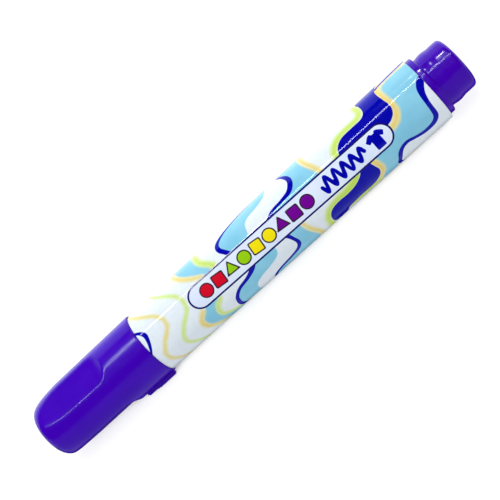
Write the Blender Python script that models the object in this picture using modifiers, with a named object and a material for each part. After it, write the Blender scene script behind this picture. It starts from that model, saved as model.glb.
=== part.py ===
"""Fabric marking pen: a faceted cap, a tapered barrel with a printed label, and a rear plug.

Every piece is modelled about the pen's own axis, which is local Z: +Z points to the rear plug.
One empty then lays the pen down along world X, with the rear plug at +X and the cap at -X.
Lengths are in metres. Angles round the axis start at the underside and grow towards world +Y.
"""

import math

import bpy
from mathutils import Matrix

MM = 0.001

# Driving dimensions of the whole pen
LENGTH = 138.5 * MM
MAX_RADIUS = 9.1 * MM
REAR_END = LENGTH / 2
CAP_END = -LENGTH / 2

# Cap
CAP_MOUTH = -33.85 * MM
CAP_RADIUS = 8.75 * MM
CAP_MOUTH_RADIUS = 8.98 * MM
CAP_TAPER_LENGTH = 12.0 * MM
CAP_TAPER = 1.5 * MM
CAP_END_POWER = 11.0
CAP_END_ROUNDNESS = 3.0
CAP_CHAMBER_POWER = 2.8
END_FLAT_RADIUS = 2.2 * MM
CAP_MOUTH_ROUND = 0.3 * MM
CAP_BORE_RADIUS = 7.75 * MM
CAP_BORE_END = -43.65 * MM
CAP_DEEP_RADIUS = 6.75 * MM
CAP_CHAMBER_DOME_START = -62.25 * MM
CAP_END_WALL = 1.4 * MM

# Three thumb facets round the cap, one of them in line with the anti-roll rib
FACET_COUNT = 3
FACET_DISTANCE = 7.72 * MM
FACET_RUNOUT_START = -48.85 * MM
FACET_RUNOUT_RADIUS = 6.6 * MM
RIB_ANGLE = math.radians(-33.5)
RIB_START = -43.05 * MM
RIB_STEP = -40.15 * MM
RIB_LOW_RADIUS = 9.7 * MM
RIB_HIGH_RADIUS = 9.95 * MM
RIB_WIDTH = 2.0 * MM
RIB_ROOT_RADIUS = 8.3 * MM
RIB_ROUND = 0.3 * MM

# Soft seal inside the cap
SEAL_RADIUS = 6.6 * MM
SEAL_LIP = -47.85 * MM
SEAL_LIP_RADIUS = 4.7 * MM
SEAL_LIP_END = -53.25 * MM
SEAL_CHAMBER_RADIUS = 5.2 * MM
SEAL_END = -67.5 * MM
SEAL_FLOOR = -66.1 * MM

# Barrel
BARREL_FRONT = -33.45 * MM
BARREL_REAR = 59.1 * MM
BARREL_FRONT_RADIUS = 8.55 * MM
BARREL_WALL = 1.05 * MM
FRONT_RIM_LENGTH = 0.35 * MM
FRONT_RIM_CHAMFER = 0.2 * MM
REAR_RIM_LENGTH = 0.45 * MM
REAR_RIM_ROUND = 0.35 * MM
LABEL_RECESS = 0.25 * MM
NECK_RADIUS = 7.5 * MM
NECK_BORE_RADIUS = 6.4 * MM
NECK_END = -42.05 * MM
SNAP_BEAD = -36.65 * MM
SNAP_BEAD_HEIGHT = 0.12 * MM
SNAP_BEAD_WIDTH = 1.6 * MM
NOSE_ROOT_RADIUS = 6.2 * MM
NOSE_LAND_RADIUS = 4.6 * MM
NOSE_LAND_START = -48.85 * MM
NOSE_LAND_END = -53.85 * MM
NOSE_END = -55.25 * MM
NOSE_END_RADIUS = 3.4 * MM
NIB_BORE_END = -46.75 * MM

# Ribs that centre the reservoir inside the barrel
INNER_RIB_COUNT = 4
INNER_RIB_WIDTH = 0.9 * MM
INNER_RIB_FRONT = -29.25 * MM
INNER_RIB_REAR = 47.8 * MM
INNER_RIB_RADIUS = 6.45 * MM

# Printed label film
LABEL_THICKNESS = 0.15 * MM
LABEL_END_GAP = 0.1 * MM
LABEL_SEAM_ANGLE = math.radians(2.5)
LABEL_SEAM_AT = math.radians(100.0)

# Nib and reservoir
NIB_RADIUS = 2.4 * MM
NIB_TIP = -60.8 * MM
NIB_TAIL_RADIUS = 1.8 * MM
NIB_TAIL_START = -44.75 * MM
NIB_TAIL_END = -33.25 * MM
NIB_BORE_RADIUS = 2.52 * MM
RESERVOIR_FRONT = -40.25 * MM
RESERVOIR_REAR = 56.6 * MM
RESERVOIR_RADIUS = 6.0 * MM
RESERVOIR_HOLE_RADIUS = 2.0 * MM
RESERVOIR_HOLE_END = -32.25 * MM
WRAP_GAP = 0.06 * MM
WRAP_THICKNESS = 0.15 * MM

# Rear plug
COLLAR_FRONT = 59.4 * MM
COLLAR_REAR = 60.8 * MM
COLLAR_RADIUS = 8.35 * MM
SPIGOT_RADIUS = 7.2 * MM
SPIGOT_BEAD = 63.2 * MM
SPIGOT_BEAD_HEIGHT = 0.4 * MM
SPIGOT_BEAD_WIDTH = 3.4 * MM
SPIGOT_CORNER = 66.25 * MM
PLUG_DOME_POWER = 3.2
PLUG_FLAT_RADIUS = 2.6 * MM
SKIRT_FRONT = 49.8 * MM
SKIRT_RADIUS = 7.55 * MM
SKIRT_BORE_RADIUS = 6.5 * MM
PLUG_CHAMBER_RADIUS = 5.9 * MM
PLUG_CHAMBER_END = 67.9 * MM

# Mesh fineness
OUTER_STEPS = 48
INNER_STEPS = 32
SHARP_ANGLE = math.radians(30.0)
MERGE_DISTANCE = 0.00001

BLUE_VIOLET = (0.045, 0.006, 0.38, 1.0)
LABEL_WHITE = (0.86, 0.87, 0.93, 1.0)
BARREL_WHITE = (0.82, 0.82, 0.86, 1.0)
SEAL_MILKY = (0.70, 0.70, 0.74, 1.0)
NIB_VIOLET = (0.09, 0.02, 0.42, 1.0)
FIBRE_VIOLET = (0.12, 0.05, 0.45, 1.0)
WRAP_CLEAR = (0.75, 0.76, 0.82, 1.0)


def clear_scene():
    """Remove every object, so the script starts from an empty scene."""
    for item in list(bpy.data.objects):
        bpy.data.objects.remove(item, do_unlink=True)


def new_collection(name):
    """A new collection linked to the scene."""
    collection = bpy.data.collections.new(name)
    bpy.context.scene.collection.children.link(collection)
    return collection


def new_material(name, colour, roughness):
    """A Principled material with one colour."""
    material = bpy.data.materials.new(name)
    material.use_nodes = True
    shader = material.node_tree.nodes["Principled BSDF"]
    shader.inputs["Base Color"].default_value = colour
    shader.inputs["Roughness"].default_value = roughness
    shader.inputs["Metallic"].default_value = 0.0
    material.diffuse_color = colour
    return material


def corner_arc(centre_radius, centre_z, size, start, stop, count=4):
    """Points of a round corner: (radius, z) from angle start to stop, in degrees."""
    points = []
    for step in range(count + 1):
        angle = math.radians(start + (stop - start) * step / count)
        radius = centre_radius + size * math.cos(angle)
        points.append((radius, centre_z + size * math.sin(angle)))
    return points


def dome(radius, start, end, power, flat, count=8):
    """Outline of a domed end from its full radius at start to a small flat disc at end."""
    points = []
    for step in range(count + 1):
        share = math.sin(math.pi / 2 * step / count)
        height = start + (end - start) * share
        width = radius * max(0.0, 1.0 - share ** power) ** (1.0 / power)
        points.append((width, height))
    kept = [point for point in points if point[0] > flat]
    return kept + [(flat, end), (0.0, end)]


def inner_dome(radius, end):
    """Outline of the domed end of the cap's chamber, or of the seal that lies in it."""
    return dome(radius, CAP_CHAMBER_DOME_START, end, CAP_CHAMBER_POWER, END_FLAT_RADIUS, 6)


def bead(radius, middle, height, width, count=4):
    """Raised ring on a cylinder, from its rear edge to its front edge."""
    points = []
    for step in range(count + 1):
        share = step / count
        z = middle + width * (0.5 - share)
        points.append((radius + height * math.sin(math.pi * share), z))
    return points


def revolve(name, outline, steps, closed, angle=2 * math.pi):
    """Turn an outline of (radius, z) points round Z with a Screw modifier."""
    mesh = bpy.data.meshes.new(name)
    vertices = [(radius, 0.0, z) for radius, z in outline]
    edges = [(index, index + 1) for index in range(len(outline) - 1)]
    if closed:
        edges.append((len(outline) - 1, 0))
    mesh.from_pydata(vertices, edges, [])
    piece = bpy.data.objects.new(name, mesh)
    screw = piece.modifiers.new("turn", "SCREW")
    screw.axis = "Z"
    screw.angle = angle
    screw.steps = steps
    screw.render_steps = steps
    screw.use_merge_vertices = True
    screw.merge_threshold = MERGE_DISTANCE
    return piece


def prism(name, outline, width, spin, rounding=0.0):
    """Straight bar from a flat outline of (radius, z) points, turned by spin round Z."""
    curve = bpy.data.curves.new(name, "CURVE")
    curve.dimensions = "2D"
    curve.fill_mode = "BOTH"
    curve.extrude = width / 2
    spline = curve.splines.new("POLY")
    spline.points.add(len(outline) - 1)
    for point, (radius, z) in zip(spline.points, outline):
        point.co = (radius, z, 0.0, 1.0)
    spline.use_cyclic_u = True
    drawn = bpy.data.objects.new(name + "_outline", curve)
    bpy.context.scene.collection.objects.link(drawn)
    bpy.context.view_layer.update()
    evaluated = drawn.evaluated_get(bpy.context.evaluated_depsgraph_get())
    mesh = bpy.data.meshes.new_from_object(evaluated)
    bpy.data.objects.remove(drawn, do_unlink=True)
    mesh.name = name
    mesh.transform(Matrix.Rotation(spin, 4, "Z") @ Matrix.Rotation(math.pi / 2, 4, "X"))
    bar = bpy.data.objects.new(name, mesh)
    weld = bar.modifiers.new("weld", "WELD")
    weld.merge_threshold = MERGE_DISTANCE
    if rounding > 0.0:
        bevel = bar.modifiers.new("round", "BEVEL")
        bevel.width = rounding
        bevel.segments = 2
        bevel.limit_method = "ANGLE"
        bevel.angle_limit = math.radians(50.0)
    return bar


def hide_tool(tool, collection, pen_axis):
    """Put a cutting or joining shape in the tools collection, out of the render."""
    collection.objects.link(tool)
    tool.parent = pen_axis
    tool.hide_render = True
    tool.display_type = "WIRE"


def boolean(piece, tool, operation):
    """Cut a tool from a piece, or join it on."""
    modifier = piece.modifiers.new(tool.name, "BOOLEAN")
    modifier.operation = operation
    modifier.solver = "EXACT"
    modifier.object = tool


def barrel_outer(z):
    """Radius of the label's outside at a place along the barrel: the barrel's slight taper."""
    share = (z - BARREL_FRONT) / (BARREL_REAR - BARREL_FRONT)
    return BARREL_FRONT_RADIUS + (MAX_RADIUS - BARREL_FRONT_RADIUS) * share


def barrel_inner(z):
    """Radius of the barrel's bore at a place along it."""
    return barrel_outer(z) - LABEL_RECESS - BARREL_WALL


def make_facet_cutter(index):
    """Bar that cuts one thumb facet: flat, then curving out to its end near the mouth."""
    spin = RIB_ANGLE + 2 * math.pi * index / FACET_COUNT
    far = CAP_RADIUS + 4.0 * MM
    beyond = CAP_END - 4.0 * MM
    centre = FACET_DISTANCE + FACET_RUNOUT_RADIUS
    runout = corner_arc(centre, FACET_RUNOUT_START, FACET_RUNOUT_RADIUS, 180.0, 110.0, 7)
    outline = [(far, beyond), (FACET_DISTANCE, beyond)] + runout + [(far, runout[-1][1])]
    return prism("facet_cutter_%d" % (index + 1), outline, 3 * CAP_RADIUS, spin)


def make_anti_roll_rib():
    """Small stepped rib on the cap's mouth that keeps the pen from rolling."""
    front = CAP_MOUTH - 0.15 * MM
    outline = [
        (RIB_ROOT_RADIUS, front),
        (RIB_ROOT_RADIUS, RIB_START),
        (RIB_LOW_RADIUS, RIB_START),
        (RIB_LOW_RADIUS, RIB_STEP),
        (RIB_HIGH_RADIUS, RIB_STEP + 0.4 * MM),
        (RIB_HIGH_RADIUS, front),
    ]
    return prism("anti_roll_rib", outline, RIB_WIDTH, RIB_ANGLE, RIB_ROUND)


def cap_end_outline(count=12):
    """Outside of the cap's closed end: a gentle taper that turns in to an almost flat end."""
    start = CAP_END + CAP_TAPER_LENGTH
    points = []
    for step in range(count):
        share = math.sin(math.pi / 2 * step / count)
        side = CAP_RADIUS - CAP_TAPER * share ** 2
        turn = (1.0 - share ** CAP_END_POWER) ** (1.0 / CAP_END_ROUNDNESS)
        points.append((side * turn, start - CAP_TAPER_LENGTH * share))
    return points + [(END_FLAT_RADIUS, CAP_END), (0.0, CAP_END)]


def make_cap(tools, pen_axis):
    """Cap: one moulding with a domed end, three facets and the anti-roll rib."""
    chamber_end = CAP_END + CAP_END_WALL
    chamber = inner_dome(CAP_DEEP_RADIUS, chamber_end)
    inside = chamber[::-1] + [
        (CAP_DEEP_RADIUS, CAP_BORE_END - (CAP_BORE_RADIUS - CAP_DEEP_RADIUS)),
        (CAP_BORE_RADIUS, CAP_BORE_END),
        (CAP_BORE_RADIUS, CAP_MOUTH - 0.4 * MM),
        (CAP_BORE_RADIUS + 0.3 * MM, CAP_MOUTH),
    ]
    size = CAP_MOUTH_ROUND
    mouth_corner = corner_arc(CAP_MOUTH_RADIUS - size, CAP_MOUTH - size, size, 90.0, 0.0, 3)
    outside = cap_end_outline()
    cap = revolve("cap", inside + mouth_corner + outside, OUTER_STEPS, False)
    for index in range(FACET_COUNT):
        cutter = make_facet_cutter(index)
        hide_tool(cutter, tools, pen_axis)
        boolean(cap, cutter, "DIFFERENCE")
    rib = make_anti_roll_rib()
    hide_tool(rib, tools, pen_axis)
    boolean(cap, rib, "UNION")
    return cap


def make_cap_inner_seal():
    """Soft cup inside the cap; its lip closes on the nose land."""
    inside = [
        (0.0, SEAL_FLOOR),
        (SEAL_CHAMBER_RADIUS - 1.2 * MM, SEAL_FLOOR),
        (SEAL_CHAMBER_RADIUS, SEAL_FLOOR + 1.2 * MM),
        (SEAL_CHAMBER_RADIUS, SEAL_LIP_END - 0.8 * MM),
        (SEAL_LIP_RADIUS, SEAL_LIP_END),
        (SEAL_LIP_RADIUS, SEAL_LIP - 0.6 * MM),
        (SEAL_LIP_RADIUS + 0.5 * MM, SEAL_LIP),
        (SEAL_RADIUS, SEAL_LIP),
    ]
    return revolve("cap_inner_seal", inside + inner_dome(SEAL_RADIUS, SEAL_END), INNER_STEPS, False)


def barrel_outline():
    """Closed outline of the barrel: down its outside to the nose, back up the bore."""
    label_rear = BARREL_REAR - REAR_RIM_LENGTH
    label_front = BARREL_FRONT + FRONT_RIM_LENGTH
    size = REAR_RIM_ROUND
    rear_rim = corner_arc(MAX_RADIUS - size, BARREL_REAR - size, size, 90.0, 0.0)
    outside = rear_rim + [
        (barrel_outer(label_rear), label_rear),
        (barrel_outer(label_rear) - LABEL_RECESS, label_rear),
        (barrel_outer(label_front) - LABEL_RECESS, label_front),
        (barrel_outer(label_front), label_front),
        (BARREL_FRONT_RADIUS, BARREL_FRONT + FRONT_RIM_CHAMFER),
        (BARREL_FRONT_RADIUS - FRONT_RIM_CHAMFER, BARREL_FRONT),
        (NECK_RADIUS, BARREL_FRONT),
    ]
    outside += bead(NECK_RADIUS, SNAP_BEAD, SNAP_BEAD_HEIGHT, SNAP_BEAD_WIDTH)
    outside += [
        (NECK_RADIUS, NECK_END + 0.6 * MM),
        (NECK_RADIUS - 0.6 * MM, NECK_END),
        (NOSE_ROOT_RADIUS, NECK_END),
        (NOSE_LAND_RADIUS, NOSE_LAND_START),
        (NOSE_LAND_RADIUS, NOSE_LAND_END),
        (NOSE_END_RADIUS, NOSE_END),
        (NIB_BORE_RADIUS, NOSE_END),
        (NIB_BORE_RADIUS, NIB_BORE_END),
        (NIB_BORE_RADIUS + 1.0 * MM, NIB_BORE_END),
        (NOSE_ROOT_RADIUS - BARREL_WALL - 0.25 * MM, NECK_END + 0.2 * MM),
        (NECK_BORE_RADIUS, NECK_END + 1.1 * MM),
        (NECK_BORE_RADIUS, BARREL_FRONT + 0.6 * MM),
        (barrel_inner(BARREL_FRONT + 2.4 * MM), BARREL_FRONT + 2.4 * MM),
        (barrel_inner(BARREL_REAR), BARREL_REAR),
    ]
    return outside


def make_inner_rib(index):
    """One of the long ribs inside the barrel."""
    spin = math.pi / INNER_RIB_COUNT + 2 * math.pi * index / INNER_RIB_COUNT
    overlap = 0.3 * MM
    outline = [
        (INNER_RIB_RADIUS, INNER_RIB_REAR),
        (INNER_RIB_RADIUS, INNER_RIB_FRONT),
        (barrel_inner(INNER_RIB_FRONT) + overlap, INNER_RIB_FRONT),
        (barrel_inner(INNER_RIB_REAR) + overlap, INNER_RIB_REAR),
    ]
    return prism("inner_rib_%d" % (index + 1), outline, INNER_RIB_WIDTH, spin)


def make_barrel(tools, pen_axis):
    """Barrel: tapered tube with rims, neck and nose, and ribs inside."""
    barrel = revolve("barrel", barrel_outline(), OUTER_STEPS, True)
    for index in range(INNER_RIB_COUNT):
        rib = make_inner_rib(index)
        hide_tool(rib, tools, pen_axis)
        boolean(barrel, rib, "UNION")
    return barrel


def make_printed_label():
    """Label film: an open, almost full turn of the tapered outline, thickened inwards."""
    rear = BARREL_REAR - REAR_RIM_LENGTH - LABEL_END_GAP
    front = BARREL_FRONT + FRONT_RIM_LENGTH + LABEL_END_GAP
    outline = [(barrel_outer(rear), rear), (barrel_outer(front), front)]
    label = revolve("printed_label", outline, OUTER_STEPS, False, 2 * math.pi - LABEL_SEAM_ANGLE)
    label.rotation_euler.z = LABEL_SEAM_AT + LABEL_SEAM_ANGLE / 2
    film = label.modifiers.new("film", "SOLIDIFY")
    film.thickness = LABEL_THICKNESS
    film.offset = -1.0
    return label


def make_nib():
    """Bullet nib with a thinner pointed tail."""
    tip_length = 3.6 * MM
    tip = dome(NIB_RADIUS, NIB_TIP + tip_length, NIB_TIP, 2.0, 0.3 * MM, 6)
    outline = [
        (0.0, NIB_TAIL_END),
        (0.4 * MM, NIB_TAIL_END),
        (NIB_TAIL_RADIUS, NIB_TAIL_END - 3.0 * MM),
        (NIB_TAIL_RADIUS, NIB_TAIL_START),
        (NIB_RADIUS, NIB_TAIL_START - 0.8 * MM),
    ]
    return revolve("nib", outline + tip, INNER_STEPS, False)


def make_reservoir_core():
    """Fibre rod with a blind hole at the front for the nib's tail."""
    outline = [
        (0.0, RESERVOIR_REAR),
        (RESERVOIR_RADIUS, RESERVOIR_REAR),
        (RESERVOIR_RADIUS, RESERVOIR_FRONT),
        (RESERVOIR_HOLE_RADIUS, RESERVOIR_FRONT),
        (RESERVOIR_HOLE_RADIUS, RESERVOIR_HOLE_END),
        (0.0, RESERVOIR_HOLE_END),
    ]
    return revolve("reservoir_core", outline, INNER_STEPS, False)


def make_reservoir_wrap():
    """Film sleeve round the fibre rod, open at both ends."""
    inner = RESERVOIR_RADIUS + WRAP_GAP
    outer = inner + WRAP_THICKNESS
    outline = [
        (outer, RESERVOIR_REAR),
        (outer, RESERVOIR_FRONT),
        (inner, RESERVOIR_FRONT),
        (inner, RESERVOIR_REAR),
    ]
    return revolve("reservoir_wrap", outline, INNER_STEPS, True)


def make_rear_plug():
    """Rear plug: posting spigot, collar and the skirt that sits in the barrel."""
    crown = dome(SPIGOT_RADIUS, SPIGOT_CORNER, REAR_END, PLUG_DOME_POWER, PLUG_FLAT_RADIUS, 6)[::-1]
    fillet = 0.5 * MM
    outline = crown + bead(SPIGOT_RADIUS, SPIGOT_BEAD, SPIGOT_BEAD_HEIGHT, SPIGOT_BEAD_WIDTH, 6)
    outline += corner_arc(SPIGOT_RADIUS + fillet, COLLAR_REAR + fillet, fillet, 180.0, 270.0, 3)
    outline += corner_arc(COLLAR_RADIUS - 0.4 * MM, COLLAR_REAR - 0.4 * MM, 0.4 * MM, 90.0, 0.0, 3)
    outline += [
        (COLLAR_RADIUS, COLLAR_FRONT),
        (SKIRT_RADIUS, COLLAR_FRONT),
        (SKIRT_RADIUS, SKIRT_FRONT + 1.0 * MM),
        (SKIRT_RADIUS - 0.4 * MM, SKIRT_FRONT),
        (SKIRT_BORE_RADIUS, SKIRT_FRONT),
        (SKIRT_BORE_RADIUS, COLLAR_FRONT),
        (PLUG_CHAMBER_RADIUS, COLLAR_REAR),
        (PLUG_CHAMBER_RADIUS, PLUG_CHAMBER_END - 1.0 * MM),
        (PLUG_CHAMBER_RADIUS - 1.0 * MM, PLUG_CHAMBER_END),
        (0.0, PLUG_CHAMBER_END),
    ]
    return revolve("rear_plug", outline, OUTER_STEPS, False)


def settle(piece):
    """Turn a piece's modifiers into its mesh and shade it smooth with crisp edges."""
    evaluated = piece.evaluated_get(bpy.context.evaluated_depsgraph_get())
    mesh = bpy.data.meshes.new_from_object(evaluated)
    mesh.name = piece.name
    piece.modifiers.clear()
    piece.data = mesh
    mesh.shade_smooth()
    mesh.set_sharp_from_angle(angle=SHARP_ANGLE)


def main():
    clear_scene()
    parts = new_collection("fabric_marking_pen")
    tools = new_collection("cutters_and_ribs")

    pen_axis = bpy.data.objects.new("pen_axis", None)
    pen_axis.location = (0.0, 0.0, MAX_RADIUS)
    pen_axis.rotation_euler = (0.0, math.pi / 2, 0.0)
    parts.objects.link(pen_axis)

    cap_plastic = new_material("cap_plastic", BLUE_VIOLET, 0.16)
    plug_plastic = new_material("plug_plastic", BLUE_VIOLET, 0.18)
    pieces = [
        (make_cap(tools, pen_axis), cap_plastic),
        (make_cap_inner_seal(), new_material("seal_plastic", SEAL_MILKY, 0.4)),
        (make_barrel(tools, pen_axis), new_material("barrel_plastic", BARREL_WHITE, 0.3)),
        (make_printed_label(), new_material("label_film", LABEL_WHITE, 0.2)),
        (make_nib(), new_material("nib_fibre", NIB_VIOLET, 0.8)),
        (make_reservoir_core(), new_material("reservoir_fibre", FIBRE_VIOLET, 0.9)),
        (make_reservoir_wrap(), new_material("wrap_film", WRAP_CLEAR, 0.3)),
        (make_rear_plug(), plug_plastic),
    ]
    for piece, _ in pieces:
        parts.objects.link(piece)
        piece.parent = pen_axis
    bpy.context.view_layer.update()
    for piece, material in pieces:
        settle(piece)
        piece.data.materials.clear()
        piece.data.materials.append(material)


main()
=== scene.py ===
"""Looks of the fabric marking pen: fine meshes, printed label, plastics, fibres, light and camera.

Lengths are in millimetres until a mesh is made. A place on the pen is (x, radius, turn): x runs
along the pen, and turn is the angle round it in degrees, 0 where the printed panel faces and
growing downwards over the front towards the floor.
"""

import math

import bmesh
import bpy
import numpy as np
from mathutils import Matrix, Vector


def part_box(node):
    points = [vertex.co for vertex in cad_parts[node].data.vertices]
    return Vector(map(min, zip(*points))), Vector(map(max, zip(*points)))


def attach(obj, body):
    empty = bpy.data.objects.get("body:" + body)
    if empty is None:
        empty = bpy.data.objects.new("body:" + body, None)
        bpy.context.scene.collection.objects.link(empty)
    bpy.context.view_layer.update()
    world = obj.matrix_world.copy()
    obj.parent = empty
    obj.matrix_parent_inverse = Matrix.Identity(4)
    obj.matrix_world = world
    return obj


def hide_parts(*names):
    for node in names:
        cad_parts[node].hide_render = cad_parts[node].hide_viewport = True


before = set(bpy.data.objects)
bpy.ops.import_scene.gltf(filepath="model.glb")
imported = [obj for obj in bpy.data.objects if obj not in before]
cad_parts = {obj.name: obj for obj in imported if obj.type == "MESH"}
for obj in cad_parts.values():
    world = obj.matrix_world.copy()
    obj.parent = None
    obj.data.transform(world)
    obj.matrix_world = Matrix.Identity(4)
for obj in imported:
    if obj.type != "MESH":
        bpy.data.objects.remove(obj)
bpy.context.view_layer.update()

MM = 0.001
PANEL_LIFT = 28.0
CAP_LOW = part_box("cap")[0] / MM
BARREL_LOW, BARREL_HIGH = (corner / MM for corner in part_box("barrel"))
LABEL_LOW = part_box("printed_label")[0] / MM
PLUG_LOW, PLUG_HIGH = (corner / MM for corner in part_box("rear_plug"))
SEAL_LOW, SEAL_HIGH = (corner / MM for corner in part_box("cap_inner_seal"))
NIB_LOW, NIB_HIGH = (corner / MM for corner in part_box("nib"))
CORE_LOW, CORE_HIGH = (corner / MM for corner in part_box("reservoir_core"))
WRAP_LOW, WRAP_HIGH = (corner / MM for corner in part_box("reservoir_wrap"))
AXIS_HEIGHT = (BARREL_LOW.z + BARREL_HIGH.z) / 2

# Barrel
BARREL_REAR = BARREL_HIGH.x
BARREL_FRONT = LABEL_LOW.x - 0.45
REAR_RADIUS = BARREL_HIGH.z - AXIS_HEIGHT
FRONT_RADIUS = REAR_RADIUS - 0.55
LABEL_RECESS = 0.16
BARREL_WALL = 1.05
NECK_RADIUS = 7.5
NECK_BEAD = 0.12
NECK_BORE = 6.4
NOSE_RADIUS = 4.6
NIB_HOLE = 2.52

# Cap
CAP_END = CAP_LOW.x
CAP_MOUTH = BARREL_FRONT - 0.07
CAP_RADIUS = 8.75
MOUTH_RADIUS = 8.98
CAP_TAPER_LENGTH = 12.0
CAP_TAPER = 1.5
FACET_DISTANCE = 7.72
FACET_RUNOUT = CAP_MOUTH - 15.0
FACET_RUNOUT_RADIUS = 6.6
FACET_TURNS = (-35.5, 84.5, 204.5)
FACET_EDGE_SOFTNESS = 0.32
CAP_BORE = 7.75
CAP_INNER_BORE = 6.75
CAP_INNER_START = CAP_END + 7.0
RIB_TURN = 84.5
RIB_FOOT = 8.3
RIB_LOW = 9.7
RIB_HIGH = 9.95

# Rear plug
SPIGOT_RADIUS = 7.25
SPIGOT_BEAD = 0.22
COLLAR_RADIUS = 8.35
SKIRT_RADIUS = 7.55
PLUG_BORE = 6.5

# Seal, nib and ink core
SEAL_RADIUS = 6.6
SEAL_BORE = 5.2
SEAL_LIP_BORE = 4.7
NIB_RADIUS = 2.4
NIB_TAIL_RADIUS = 1.8
CORE_RADIUS = 6.0
CORE_HOLE = 2.0

# Label
SEAM_TURN = 218.0
SEAM_WIDTH = 2.5
PRINT_RADIUS = 8.8
FILM_THICKNESS = 0.15


# ---------------------------------------------------------------- mesh tools

def spot(x, radius, turn):
    """World position in metres of a place on the pen."""
    angle = math.radians(PANEL_LIFT - turn)
    return Vector((x, -radius * math.cos(angle), AXIS_HEIGHT + radius * math.sin(angle))) * MM


def rounded(corners, closed=False, arc_step=14.0):
    """Outline from (x, radius, fillet) corners, each fillet made of short arcs."""
    points = []
    count = len(corners)
    for index, (x, radius, fillet) in enumerate(corners):
        at_end = not closed and index in (0, count - 1)
        if fillet <= 0.0 or at_end:
            points.append((x, radius))
            continue
        corner = Vector((x, radius))
        before = (Vector(corners[index - 1][:2]) - corner).normalized()
        after = (Vector(corners[(index + 1) % count][:2]) - corner).normalized()
        half = before.angle(after) / 2
        centre = corner + (before + after).normalized() * fillet / math.sin(half)
        start = corner + before * fillet / math.tan(half) - centre
        stop = corner + after * fillet / math.tan(half) - centre
        sweep = start.angle_signed(stop)
        steps = max(2, math.ceil(abs(math.degrees(sweep)) / arc_step))
        for step in range(steps + 1):
            arm = Matrix.Rotation(-sweep * step / steps, 2) @ start
            points.append(tuple(centre + arm))
    return points


def grid_mesh(name, rings, wrap_rings=False, wrap_turns=True):
    """Mesh object from rings of world positions; points that coincide are merged."""
    builder = bmesh.new()
    rows = [[builder.verts.new(point) for point in ring] for ring in rings]
    ring_count = len(rows)
    turn_count = len(rows[0])
    for i in range(ring_count if wrap_rings else ring_count - 1):
        here, there = rows[i], rows[(i + 1) % ring_count]
        for j in range(turn_count if wrap_turns else turn_count - 1):
            k = (j + 1) % turn_count
            builder.faces.new((here[j], here[k], there[k], there[j]))
    bmesh.ops.remove_doubles(builder, verts=builder.verts, dist=0.002 * MM)
    bmesh.ops.recalc_face_normals(builder, faces=builder.faces)
    mesh = bpy.data.meshes.new(name)
    builder.to_mesh(mesh)
    builder.free()
    piece = bpy.data.objects.new(name, mesh)
    bpy.context.scene.collection.objects.link(piece)
    return piece


def lathe(name, outline, steps=144, closed=False):
    """Turned piece from an outline of (x, radius) points."""
    turns = [360.0 * step / steps for step in range(steps)]
    rings = [[spot(x, max(radius, 0.0), turn) for turn in turns] for x, radius in outline]
    return grid_mesh(name, rings, wrap_rings=closed)


def straight_bar(name, corners, width, turn, edge=0.0):
    """Bar with an (x, radius) outline and a width across, standing on the pen at a turn."""
    builder = bmesh.new()
    across = (spot(0, 1, turn + 90) - spot(0, 0, 0)).normalized() * width * MM
    face = builder.faces.new([builder.verts.new(spot(x, r, turn) - across / 2) for x, r in corners])
    grown = bmesh.ops.extrude_face_region(builder, geom=[face])
    moved = [item for item in grown["geom"] if isinstance(item, bmesh.types.BMVert)]
    bmesh.ops.translate(builder, verts=moved, vec=across)
    bmesh.ops.recalc_face_normals(builder, faces=builder.faces)
    if edge > 0.0:
        bmesh.ops.bevel(builder, geom=builder.edges[:], offset=edge * MM, segments=3, affect="EDGES")
    mesh = bpy.data.meshes.new(name)
    builder.to_mesh(mesh)
    builder.free()
    bar = bpy.data.objects.new(name, mesh)
    bpy.context.scene.collection.objects.link(bar)
    return bar


def join_on(piece, tool):
    """Boolean union of a tool with a piece; the tool is used up."""
    modifier = piece.modifiers.new(tool.name, "BOOLEAN")
    modifier.operation = "UNION"
    modifier.solver = "EXACT"
    modifier.object = tool
    bpy.context.view_layer.update()
    evaluated = piece.evaluated_get(bpy.context.evaluated_depsgraph_get())
    mesh = bpy.data.meshes.new_from_object(evaluated)
    mesh.name = piece.name
    piece.modifiers.clear()
    piece.data = mesh
    bpy.data.objects.remove(tool, do_unlink=True)


def smooth(piece, sharp_angle=42.0):
    """Smooth shading that keeps flat faces flat."""
    piece.data.shade_smooth()
    piece.data.set_sharp_from_angle(angle=math.radians(sharp_angle))
    weighted = piece.modifiers.new("flat_faces", "WEIGHTED_NORMAL")
    weighted.keep_sharp = True


def finish_piece(piece, node, body, material):
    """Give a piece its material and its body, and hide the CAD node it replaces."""
    piece.data.materials.clear()
    piece.data.materials.append(material)
    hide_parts(node)
    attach(piece, body)


# ---------------------------------------------------------------- shapes

def taper_radius(x):
    """Outside radius of the barrel at x."""
    share = (x - BARREL_FRONT) / (BARREL_REAR - BARREL_FRONT)
    return FRONT_RADIUS + (REAR_RADIUS - FRONT_RADIUS) * share


def cap_end_outline(count=30):
    """Outside of the cap's closed end: a gentle taper that turns in to an almost flat end."""
    points = []
    for step in range(count + 1):
        share = math.sin(math.pi / 2 * step / count)
        side = CAP_RADIUS - CAP_TAPER * share ** 2
        turn_in = max(0.0, 1.0 - share ** 11) ** (1 / 3)
        points.append((CAP_END + CAP_TAPER_LENGTH * (1 - share), side * turn_in))
    return points[::-1]


def hollow_end(start, depth, radius, steps):
    """Closed end of a hollow or a cup: from its wall at start, in to the axis at depth further on."""
    points = []
    for step in range(1, steps + 1):
        share = math.sin(math.pi / 2 * step / steps)
        turn_in = max(0.0, 1.0 - share ** 2.8) ** (1 / 2.8)
        points.append((start - depth * share, radius * turn_in))
    return points


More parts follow.
